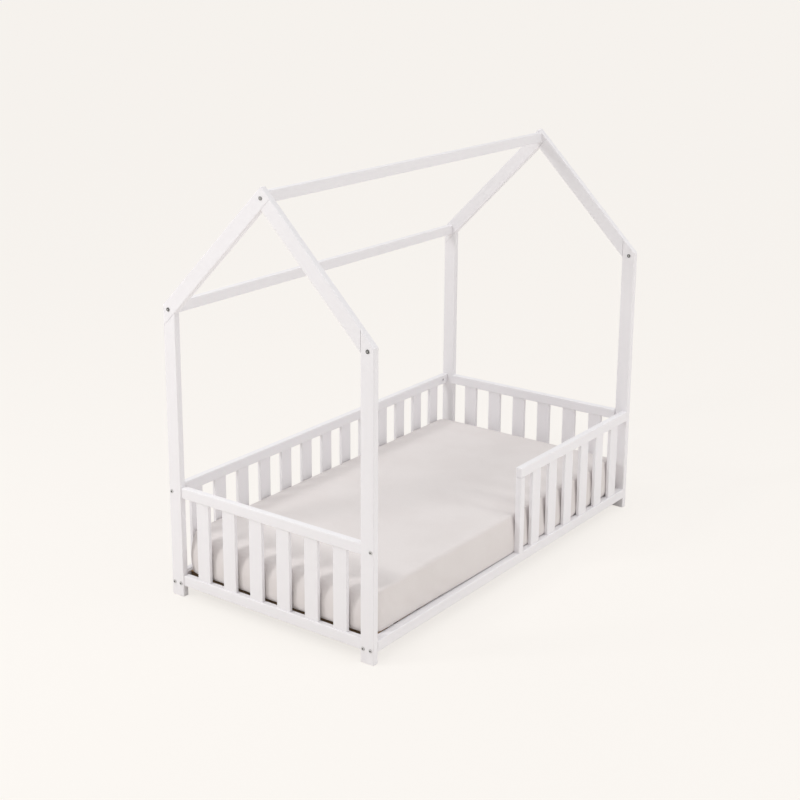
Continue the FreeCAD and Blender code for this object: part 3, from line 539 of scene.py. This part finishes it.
class Shell:
    """A mattress-shaped shell: a grid over the top, crowned by c (1 - (x / a)^2) (1 - (y / b)^4),
    and rings from its rim down the sides and under.

    A ring is the rounded rectangle at its inset from the widest outline. With angle a from 0 to a
    right angle, the upper turn has inset r (1 - sin a) and height top - r (1 - cos a); the side is
    straight; the lower turn is the same upside down; and below it the rings run inwards at the
    foot. The closing faces join the two long sides of the last ring."""

    def __init__(self, half_x, half_y, foot, top, upper, lower, corner, crown, step, under):
        nx, ny = round(2 * (half_x - upper) / step), round(2 * (half_y - upper) / step)
        tx, ty = np.meshgrid(np.linspace(-1, 1, nx + 1), np.linspace(-1, 1, ny + 1))
        x, y = plan(tx, ty, half_x - upper, half_y - upper, corner - upper)
        z = top + crown * (1 - (x / half_x) ** 2) * (1 - (y / half_y) ** 4)
        cap = np.stack([x, y, z], -1).reshape(-1, 3)
        index = np.arange((nx + 1) * (ny + 1)).reshape(ny + 1, nx + 1)
        rim = np.concatenate([index[0, :-1], index[:-1, -1], index[-1, :0:-1], index[:0:-1, 0]])
        rim_x, rim_y = tx.ravel()[rim], ty.ravel()[rim]
        angles = np.linspace(0, math.pi / 2, 6)[1:]
        turn = [(upper * (1 - math.sin(a)), top - upper * (1 - math.cos(a))) for a in angles]
        count = max(2, round((top - upper - foot - lower) / step))
        side = [(0.0, h) for h in np.linspace(top - upper, foot + lower, count + 1)[1:]]
        angles = np.linspace(0, math.pi / 2, 4)[1:]
        tuck = [(lower * (1 - math.cos(a)), foot + lower * (1 - math.sin(a))) for a in angles]
        count = max(2, round((under - lower) / step))
        inner = np.linspace(lower, under, count + 1)[1:]
        profile = np.array(turn + side + tuck + [(inset, foot) for inset in inner])
        rings = []
        for inset, height in profile:
            radius = min(max(corner - inset, LEAST_RADIUS), half_x - inset)
            px, py = plan(rim_x, rim_y, half_x - inset, half_y - inset, radius)
            rings.append(np.stack([px, py, np.full(len(px), height)], -1))
        self.points = np.concatenate([cap, *rings])
        self.rim, self.count, self.cap_count = rim, len(rim), len(cap)
        ring_of = np.repeat(np.arange(len(profile)), len(rim))
        self.ring = np.concatenate([np.full(len(cap), -1), ring_of])
        self.turns, self.sides, self.tucks = len(turn), len(side), len(tuck)
        faces = [grid_faces(ny + 1, nx + 1)]
        here = np.arange(len(rim))
        first = np.stack([np.roll(rim, -1), rim], -1)
        below = len(cap) + np.stack([here, np.roll(here, -1)], -1)
        faces.append(np.concatenate([first, below], -1))
        faces.append(grid_faces(len(profile), len(rim), True, len(cap))[:, ::-1])
        self.faces = np.concatenate(faces)
        self.uv = self.unrolled(profile, rim_x, rim_y)
        self.closing = self.closed(nx, ny)

    def closed(self, nx, ny):
        """Faces between the two long sides of the last ring, which lie close together."""
        rim = self.rim
        left = (len(rim) - np.arange(ny + 1)) % len(rim)
        right = nx + np.arange(ny + 1)
        last = len(self.points) - len(rim)
        strip = np.stack([left[1:-2], left[2:-1], right[2:-1], right[1:-2]], -1)
        foot_face = [left[1], right[1], *range(nx, -1, -1)]
        head_face = [right[-2], left[-2], *range(2 * nx + ny, nx + ny - 1, -1)]
        return [[int(v) + last for v in face] for face in (*strip, foot_face, head_face)]

    def unrolled(self, profile, rim_x, rim_y):
        """Flat pattern in metres: the plan for the top, and beyond its rim the length round the
        profile."""
        cap = self.points[: self.cap_count, :2]
        length = np.cumsum(np.hypot(*np.diff(np.concatenate([profile[:1], profile]), axis=0).T))
        rim = cap[self.rim]
        out = np.stack([rim_x, rim_y], -1)
        main = np.abs(out) >= np.abs(out).max(-1, keepdims=True) - 1e-9
        out = np.where(main, np.sign(out), 0)
        rings = rim[None] + length[:, None, None] * out[None]
        return np.concatenate([cap, rings.reshape(-1, 2)])

    def outward(self, points):
        """Unit normals of the shell at its points, from the mesh's own faces."""
        a, b, c, d = (points[self.faces[:, n]] for n in range(4))
        normal = np.cross(c - a, d - b)
        total = np.zeros_like(points)
        for n in range(4):
            np.add.at(total, self.faces[:, n], normal)
        return total / np.maximum(np.linalg.norm(total, axis=1, keepdims=True), 1e-12)


def fullness(points, normal, foot, top):
    """How far the filling pushes each point of a shell outwards.

    With h the share of the height, a side stands out by a (4h (1 - h))^0.75 + b (1 - h)^4, and the
    foot end without its b. On the entry side the mattress has spread over the ledger, so that up to
    the guard its push is a (1 - h^2), and the free post of the guard dents it. The push follows the
    square root of the normal's part across that side, which keeps the turns tight."""
    h = np.clip((points[:, 2] - foot) / (top - foot), 0, 1)
    barrel = (4 * h * (1 - h)) ** 0.75
    low = LOW_PUSH * (1 - h) ** 4
    y = points[:, 1]
    spread = 1 - smooth_share(y, 0.20, 0.80)
    entry = ENTRY_PUSH[0] + (ENTRY_PUSH[1] - ENTRY_PUSH[0]) * smooth_share(y, -0.70, -0.02)
    entry = entry - POST_DENT * np.exp(-(((y - GUARD_POST_Y) / POST_DENT_REACH) ** 2))
    nx, ny = normal[:, 0], normal[:, 1]
    right = entry * (spread * (1 - h * h) + (1 - spread) * barrel) + (1 - spread) * low
    right = right * np.sqrt(np.maximum(nx, 0))
    left = (SIDE_PUSH * barrel + low) * np.sqrt(np.maximum(-nx, 0))
    head = (SIDE_PUSH * barrel + low) * np.sqrt(np.maximum(ny, 0))
    foot_end = FOOT_PUSH * barrel * np.sqrt(np.maximum(-ny, 0))
    lean, drop = settling(points, h)
    return np.stack([right - left, head - foot_end + lean, -drop], -1)


def settling(points, h):
    """How far along Y the ends lean, and how far the top has fallen, at the share h of the height.

    An end leans inwards by l w ((h - 0.45) / 0.55)^2.2, where w grows from 0 to 1 over the last
    stretch of the length, and its top falls by d t^2 h, with t the same over a shorter stretch.
    The foot end also turns in by k t (1 - h / 0.4)^2 at its foot. The hollow beside the guard's
    post is a bell c exp(-(r / R)^2) of the distance r."""
    x, y = points[:, 0], points[:, 1]
    w = np.clip((np.abs(y) - (SHEET_HIGH[1] - LEAN_STRETCH)) / LEAN_STRETCH, 0, 1)
    lean = -np.sign(y) * END_LEAN * w * np.clip((h - 0.45) / 0.55, 0, 1) ** 2.2
    t = np.clip((np.abs(y) - (SHEET_HIGH[1] - END_STRETCH)) / END_STRETCH, 0, 1)
    lean = lean + np.where(y < 0, FOOT_TUCK * t * np.clip(1 - h / 0.4, 0, 1) ** 2, 0)
    away = np.hypot(x - HOLLOW_X, y - GUARD_POST_Y) / HOLLOW_RADIUS
    hollow = HOLLOW_DEPTH * np.exp(-(away ** 2)) * smooth_share(h, 0.6, 0.95)
    return lean, h * (END_DROP * t * t + hollow)


def smoothed(points, faces, free, rounds):
    """Points drawn half the way, times free, to the mean of their neighbours along the edges."""
    edges = np.concatenate([faces[:, [n, (n + 1) % 4]] for n in range(4)])
    edges = np.unique(np.sort(edges, axis=1), axis=0)
    both = np.concatenate([edges, edges[:, ::-1]])
    count = np.bincount(both[:, 0], minlength=len(points))[:, None]
    for _ in range(rounds):
        total = np.zeros_like(points)
        np.add.at(total, both[:, 0], points[both[:, 1]])
        points = points + 0.5 * free[:, None] * (total / np.maximum(count, 1) - points)
    return points


def run_cloth(thing, frames, **settings):
    """Run Blender's cloth on a piece and return its points at the last frame, in place of the
    modifier."""
    modifier = thing.modifiers.new("cloth", "CLOTH")
    cloth = modifier.settings
    cloth.quality = settings.pop("quality", 6)
    cloth.effector_weights.gravity = settings.pop("gravity", 1.0)
    collision = modifier.collision_settings
    collision.use_collision = settings.pop("collide", False)
    collision.distance_min = CLOTH_GAP
    collision.collision_quality = 3
    for name, value in settings.items():
        setattr(cloth, name, value)
    modifier.point_cache.frame_start = 1
    modifier.point_cache.frame_end = frames
    for n in range(1, frames + 1):
        scene.frame_set(n)
    got = thing.evaluated_get(bpy.context.evaluated_depsgraph_get()).data
    points = np.empty(len(got.vertices) * 3)
    got.vertices.foreach_get("co", points)
    thing.modifiers.remove(modifier)
    scene.frame_set(1)
    return points.reshape(-1, 3)


def set_points(thing, points):
    """Put new points in a piece's mesh."""
    thing.data.vertices.foreach_set("co", points.astype(np.float32).ravel())
    thing.data.update()


def held_back(moved, rest, normal, low, high, aside):
    """Points whose way from the rest shape is bent softly into a range: in or out along the normal,
    and aside from it, each by limit tanh(d / limit)."""
    way = moved - rest
    out = np.sum(way * normal, axis=1)
    slide = way - out[:, None] * normal
    far = np.maximum(np.linalg.norm(slide, axis=1), 1e-9)
    kept = np.where(out > 0, high * np.tanh(out / high), low * np.tanh(out / low))
    share = aside * np.tanh(far / aside) / far
    return rest + kept[:, None] * normal + share[:, None] * slide


# Finishes of the timber and fittings

PAINTS = {grain: painted_wood(grain) for grain in GRAIN_SCALES}


def grain_of(name):
    """Direction of the grain in a painted piece."""
    if name.endswith("_rafter"):
        return "left_slope" if "_left_" in name else "right_slope"
    if name.endswith("_post") or "_slat_" in name:
        return "z"
    return "x" if name.startswith(("foot_", "head_")) else "y"


BARE = {
    "bed_slats": bare_wood("pine_planed", PINE_EARLY, PINE_LATE, "x", 24.0, 0.62, 0.85),
    "dowels": bare_wood("beech_dowel", BEECH, BEECH_LATE, "x", 60.0, 0.58, 0.0),
}
BARE.update(dict.fromkeys(("bolts", "barrel_nuts", "sleeve_nuts"), zinc_plate()))
for name, thing in nodes.items():
    thing.data.materials.clear()
    thing.data.materials.append(BARE.get(name) or PAINTS[grain_of(name)])

# Mattress: foam in a knitted cover. It keeps a small distance from the sheet over it.

core = Shell(
    CORE_HIGH[0] - CORE_INSET, CORE_HIGH[1] - CORE_INSET,
    CORE_LOW[2], CORE_LOW[2] + CORE_HEIGHT - CORE_INSET, *CORE_TURNS,
    CORE_HIGH[2] - CORE_LOW[2] - CORE_HEIGHT, CORE_STEP, CORE_HIGH[0] - 2 * CORE_INSET,
)
to_edge = np.max(np.abs(core.points[:, :2]) - CORE_HIGH[:2], axis=1)
under = core.ring >= core.turns + core.sides + core.tucks - 1
core.points[:, 2] += np.where(under, HEM_LIFT * smooth_share(to_edge, -HEM - HEM_FADE, -HEM), 0)
core.points += fullness(core.points, core.outward(core.points), CORE_LOW[2], CORE_HIGH[2])
core_faces = core.faces.tolist() + core.closing
mattress = piece("mattress_foam_block", core.points, core_faces, ticking(), core.uv)
rest = core.points.copy()
free = (core.ring < core.turns + core.sides).astype(float)
group = mattress.vertex_groups.new(name="resting")
group.add(np.flatnonzero(free == 0).tolist(), 1.0, "REPLACE")
moved = run_cloth(
    mattress, 12, gravity=0.0, use_pressure=True, uniform_pressure_force=4.0,
    tension_stiffness=25.0, compression_stiffness=25.0, bending_stiffness=4.0,
    vertex_group_mass="resting",
)
mattress.vertex_groups.clear()
core.points = held_back(moved, rest, core.outward(rest), *CORE_LIMITS)
set_points(mattress, core.points)
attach(mattress, "mattress")
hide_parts("mattress_core")

# Fitted sheet over it

cover = Shell(
    SHEET_HIGH[0], SHEET_HIGH[1], SHEET_LOW[2], SHEET_LOW[2] + SHEET_HEIGHT, *SHEET_TURNS,
    SHEET_HIGH[2] - SHEET_LOW[2] - SHEET_HEIGHT, SHEET_STEP, HEM,
)
cover.points += fullness(cover.points, cover.outward(cover.points), SHEET_LOW[2], SHEET_HIGH[2])
rest = cover.points.copy()
sheet = piece("fitted_sheet_cotton", rest, cover.faces, cotton_sheet(), cover.uv)
held = cover.ring >= cover.turns + cover.sides
points = rest.copy()
group = sheet.vertex_groups.new(name="tucked")
group.add(np.flatnonzero(held).tolist(), 1.0, "REPLACE")
mattress.modifiers.new("collision", "COLLISION")
mattress.collision.thickness_outer = CLOTH_GAP
mattress.collision.cloth_friction = 12.0
points = run_cloth(
    sheet, 24, collide=True, quality=5, mass=0.16, tension_stiffness=12.0,
    compression_stiffness=8.0, shear_stiffness=4.0, bending_stiffness=0.35, shrink_min=-0.006,
    air_damping=2.0, vertex_group_mass="tucked",
)
mattress.modifiers.clear()
sheet.vertex_groups.clear()
points = smoothed(points, cover.faces, np.where(held, 0.0, 1.0), 2)
points = held_back(points, rest, cover.outward(rest), *SHEET_LIMITS)
set_points(sheet, points)
solid = sheet.modifiers.new("cloth thickness", "SOLIDIFY")
solid.thickness = CLOTH_THICKNESS
solid.offset = -1


# Hem and seams of the sheet

def oval_along(path, out, half_width, half_height, sides, looped):
    """Flat oval carried along a path: at each point a cos(t) across the path and b sin(t) along
    out, with the half width a and the half height b given for each point. Where the path is open,
    its two ends close in a face each."""
    tangent = np.roll(path, -1, 0) - np.roll(path, 1, 0)
    if not looped:
        tangent[0], tangent[-1] = path[1] - path[0], path[-1] - path[-2]
    across = np.cross(tangent, out)
    across /= np.linalg.norm(across, axis=1, keepdims=True)
    t = np.linspace(0, 2 * math.pi, sides, endpoint=False)[None, :, None]
    ring = path[:, None] + half_width[:, None, None] * np.cos(t) * across[:, None]
    ring = ring + half_height[:, None, None] * np.sin(t) * out[:, None]
    faces = grid_faces(len(path), sides, True, looped=looped)[:, ::-1].tolist()
    if not looped:
        faces += end_faces(len(path), sides)
    return ring.reshape(-1, 3), faces


def evenly(path, step, looped=False):
    """Points at an even step along a path of points, and their distances along it."""
    if looped:
        path = np.concatenate([path, path[:1]])
    length = np.concatenate([[0], np.cumsum(np.linalg.norm(np.diff(path, axis=0), axis=1))])
    s = np.linspace(0, length[-1], round(length[-1] / step) + 1)
    s = s[:-1] if looped else s
    return np.stack([np.interp(s, length, part) for part in path.T], -1), s


def pattern_along(s, sides, across):
    """Flat pattern of a bar made of rings: the distance along it, and a step across to a side."""
    return np.stack([np.repeat(s, sides), np.tile(np.arange(sides) * across, len(s))], -1)


def hem_bead():
    """Elastic hem at the sheet's inner edge, gathered: along its length s its half width is
    w (1 + 0.12 sin ks) and its half height h (1 + 0.30 sin(ks + 2)), with one gather to about 8 mm,
    uneven by a slow second wave."""
    path, s = evenly(points[-cover.count:], HEM_STEP, looped=True)
    path[:, 2] += HEM_RISE
    gathers = 2 * math.pi * round(s[-1] / HEM_GATHER) / (s[-1] + HEM_STEP) * s
    uneven = gathers + 1.3 * np.sin(gathers / 7)
    width = HEM_HALF_WIDTH * (1 + 0.12 * np.sin(uneven))
    height = HEM_HALF_HEIGHT * (1 + 0.30 * np.sin(uneven + 2))
    up = np.tile((0.0, 0.0, 1.0), (len(path), 1))
    shape, faces = oval_along(path, up, width, height, HEM_SIDES, True)
    return shape, faces, pattern_along(s, HEM_SIDES, 0.001)


def corner_seams():
    """Seam down each corner of the sheet: a narrow oval welt from the top edge round to the hem,
    nipped by a stitch every 3.2 mm, where its half height falls by a third.

    It follows a column of the shell. Two of the four lie on a corner of the grid, and the other two
    one column beside it."""
    normal = cover.outward(points)
    rings = (len(points) - cover.cap_count) // cover.count
    beside = np.flatnonzero(np.diff(cover.rim) != 1)[0] + 1
    shapes, faces, uvs, start = [], [], [], 0
    for column in (0, beside, cover.count // 2, cover.count // 2 + beside):
        line = cover.cap_count + column + cover.count * np.arange(rings)
        line = np.concatenate([[cover.rim[column]], line])
        path, s = evenly(points[line] + SEAM_RISE * normal[line], SEAM_STEP)
        old, new = np.linspace(0, 1, len(line)), np.linspace(0, 1, len(s))
        out = np.stack([np.interp(new, old, part) for part in normal[line].T], -1)
        out /= np.linalg.norm(out, axis=1, keepdims=True)
        free = np.abs(np.sin(math.pi * s / SEAM_STITCH)) ** 0.5
        width, height = (low + more * free for low, more in (SEAM_HALF_WIDTHS, SEAM_HALF_HEIGHTS))
        shape, quads = oval_along(path, out, width, height, SEAM_SIDES, False)
        shapes.append(shape)
        faces += [[v + start for v in face] for face in quads]
        uvs.append(pattern_along(s, SEAM_SIDES, 0.0004))
        start += len(shape)
    return np.concatenate(shapes), faces, np.concatenate(uvs)


gathered = hem_cotton()
bead_points, bead_faces, bead_uv = hem_bead()
hem = piece("sheet_hem_elastic", bead_points, bead_faces, gathered, bead_uv)
seam_points, seam_faces, seam_uv = corner_seams()
seams = piece("sheet_corner_seams", seam_points, seam_faces, gathered, seam_uv)
for cloth_piece in (sheet, hem, seams):
    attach(cloth_piece, "mattress")
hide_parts("fitted_sheet")


# Tapes under the base slats, and their staples

def tapes():
    """Two woven tapes. Each is a flat rounded bar carried along Y: its profile is a superellipse of
    the tape's width and thickness, and between two slats its height falls by sag (1 - (1 - t)^2),
    with t from 0 at a slat's edge to 1 in the middle."""
    half = (TAPE_HIGH[1] - TAPE_LOW[1]) / 2
    pitch = (2 * half) / (SLAT_COUNT - 1)
    y = np.linspace(-half, half, TAPE_STEPS * (SLAT_COUNT - 1) + 1)
    phase = (y + half) / pitch
    past_slat = np.abs(phase - np.round(phase)) * pitch - SLAT_WIDTH / 2
    t = np.clip(past_slat / (pitch / 2 - SLAT_WIDTH / 2), 0, 1)
    drop = TAPE_SAG * (1 - (1 - t) ** 2)
    angle = np.linspace(0, 2 * math.pi, TAPE_SIDES, endpoint=False)
    wide = np.sign(np.cos(angle)) * np.abs(np.cos(angle)) ** 0.35 * TAPE_HALF_WIDTH
    thick = np.sign(np.sin(angle)) * np.abs(np.sin(angle)) ** 0.7 * TAPE_HALF_THICKNESS
    top = TAPE_HIGH[2] - TAPE_DEPTH
    shape = (len(y), TAPE_SIDES)
    rings, faces, uv = [], [], []
    for side in (-1, 1):
        middle = side * (TAPE_HIGH[0] - TAPE_HALF_WIDTH)
        ring = np.stack([
            middle + np.broadcast_to(wide, shape),
            np.broadcast_to(y[:, None], shape),
            top - drop[:, None] + thick[None, :],
        ], -1).reshape(-1, 3)
        start = sum(len(p) for p in rings)
        faces += grid_faces(*shape, True, start)[:, ::-1].tolist()
        faces += end_faces(*shape, start)
        rings.append(ring)
        uv.append(np.stack([ring[:, 0] - middle + TAPE_HALF_WIDTH, ring[:, 1]], -1))
    return np.concatenate(rings), faces, np.concatenate(uv)


tape_points, tape_faces, tape_uv = tapes()
tape = piece("slat_tapes_woven", tape_points, tape_faces, tape_webbing(), tape_uv)
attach(tape, "frame")
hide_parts("slat_straps")


def tube(path, radius, sides):
    """Round wire along a path of points: a circle square to the path at each point, closed at both
    ends."""
    path = np.asarray(path, float)
    tangent = np.gradient(path, axis=0)
    tangent /= np.linalg.norm(tangent, axis=1, keepdims=True)
    across = np.cross(tangent, (0.0, 1.0, 0.0))
    across /= np.linalg.norm(across, axis=1, keepdims=True)
    other = np.cross(tangent, across)
    angle = np.linspace(0, 2 * math.pi, sides, endpoint=False)[None, :, None]
    circle = np.cos(angle) * across[:, None] + np.sin(angle) * other[:, None]
    faces = grid_faces(len(path), sides, True).tolist()
    faces += [face[::-1] for face in end_faces(len(path), sides)]
    return (path[:, None] + radius * circle).reshape(-1, 3), faces


def staples():
    """Two staples to a slat and tape, and one on an end slat: a bridge of wire under the tape whose
    ends turn up into the slat."""
    a = np.linspace(0, math.pi / 2, 4)
    bend, reach, low, rise = 0.0012, 0.0050, -0.0015, 0.0050
    half = np.stack([reach - bend + bend * np.sin(a), 0 * a, low + bend * (1 - np.cos(a))], -1)
    path = np.concatenate([
        [(-reach, 0, rise)], half[::-1] * (-1, 1, 1), half, [(reach, 0, rise)],
    ])
    shape, faces = tube(path, STAPLE_RADIUS, 8)
    half_y = (TAPE_HIGH[1] - TAPE_LOW[1]) / 2
    places = []
    for x in (TAPE_HALF_WIDTH - TAPE_HIGH[0], TAPE_HIGH[0] - TAPE_HALF_WIDTH):
        for n, y in enumerate(np.linspace(-half_y, half_y, SLAT_COUNT)):
            offsets = (-STAPLE_OFFSET, STAPLE_OFFSET)
            if n in (0, SLAT_COUNT - 1):
                offsets = (-math.copysign(STAPLE_END_OFFSET, y),)
            places += [(x, y + offset, TAPE_HIGH[2]) for offset in offsets]
    points = (shape[None] + np.array(places)[:, None]).reshape(-1, 3)
    every = [[v + n * len(shape) for v in face] for n in range(len(places)) for face in faces]
    return points, every


staple_points, staple_faces = staples()
staple = piece("tape_staples", staple_points, staple_faces, steel_wire())
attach(staple, "frame")


# Floor, light and camera

def floor_finish():
    """Pale studio floor, a little mottled far below what the eye picks out. To the camera it is
    mostly lit by itself, which keeps the shadow of the bed faint."""
    f = Finish("studio_floor")
    cloud = f.noise(f.place(), 1.5, 2.0)
    tone = f.mix(f.between(cloud, 0.3, 0.7, 0.0, 0.02), CREAM, CREAM_CLOUD)
    f.finish(Base_Color=tone, Roughness=1.0, Specular_IOR_Level=0.0)
    glow = f.add("Emission", Color=CREAM, Strength=1.0)
    share = f.sum("MULTIPLY", f.add("LightPath", "Is Camera Ray"), FLOOR_GLOW)
    both = f.add("MixShader", i0=share, i1=f.shader.outputs[0], i2=glow)
    f.put(f.tree.nodes["Material Output"].inputs[0], both)
    return f.material


def studio_world():
    """Even light from all round. The camera, mirrors and clear pieces see the floor's own cream
    instead."""
    world = bpy.data.worlds.new("studio")
    world.use_nodes = True
    tree = world.node_tree
    sky = tree.nodes["Background"]
    sky.inputs[0].default_value = (*SKY, 1)
    sky.inputs[1].default_value = WORLD_LEVEL
    backdrop = tree.nodes.new("ShaderNodeBackground")
    backdrop.inputs[0].default_value = (*CREAM, 1)
    ray = tree.nodes.new("ShaderNodeLightPath")
    share = ray.outputs["Is Camera Ray"]
    for name in ("Is Glossy Ray", "Is Transmission Ray"):
        larger = tree.nodes.new("ShaderNodeMath")
        larger.operation = "MAXIMUM"
        tree.links.new(share, larger.inputs[0])
        tree.links.new(ray.outputs[name], larger.inputs[1])
        share = larger.outputs[0]
    blend = tree.nodes.new("ShaderNodeMixShader")
    for n, output in enumerate((share, sky.outputs[0], backdrop.outputs[0])):
        tree.links.new(output, blend.inputs[n])
    tree.links.new(blend.outputs[0], tree.nodes["World Output"].inputs[0])
    return world


def lamp(name, kind, energy, size, turn, place=(0, 0, 3)):
    """Lamp that shines along its own negative Z axis: a far one whose size is its angle in degrees,
    or a round panel whose size is its width."""
    light = bpy.data.lights.new(name, kind)
    light.energy = energy
    if kind == "SUN":
        light.angle = math.radians(size)
    else:
        light.shape = "DISK"
        light.size = size
    thing = bpy.data.objects.new(name, light)
    thing.location = place
    thing.rotation_euler = [math.radians(a) for a in turn]
    scene.collection.objects.link(thing)


floor_corners = FLOOR_REACH * np.array([(-1, -1, 0), (1, -1, 0), (1, 1, 0), (-1, 1, 0)], float)
floor = piece("studio_floor", floor_corners, [(0, 1, 2, 3)], floor_finish(), smooth=False)
scene.world = studio_world()

lamp("key_window", "AREA", 61.0, 1.06, (54.5, 0, -28.4), (-1.935, -3.585, 3.2))
lamp("sky_panel", "SUN", 1.22, 70.0, (5.0, 3.0, 0))
lamp("side_fill", "AREA", 20.5, 1.2, (70.0, 0, 98.0), (3.95, 0.55, 1.6))
lamp("side_window", "SUN", 0.24, 60.0, (-14.0, 64.0, 0))

# The camera's place, turn and lens are fitted to the corners of the frame in the photo
camera = bpy.data.objects.new("photo_camera", bpy.data.cameras.new("photo_camera"))
camera.location = (2.9721, -4.2160, 2.2529)
camera.rotation_euler = [math.radians(a) for a in (75.0267, 0.0332, 37.4385)]
camera.data.sensor_width = 36
camera.data.lens = 67.118
camera.data.shift_x = 0.05
camera.data.shift_y = -0.10
scene.collection.objects.link(camera)
scene.camera = camera

scene.view_settings.view_transform = "Standard"
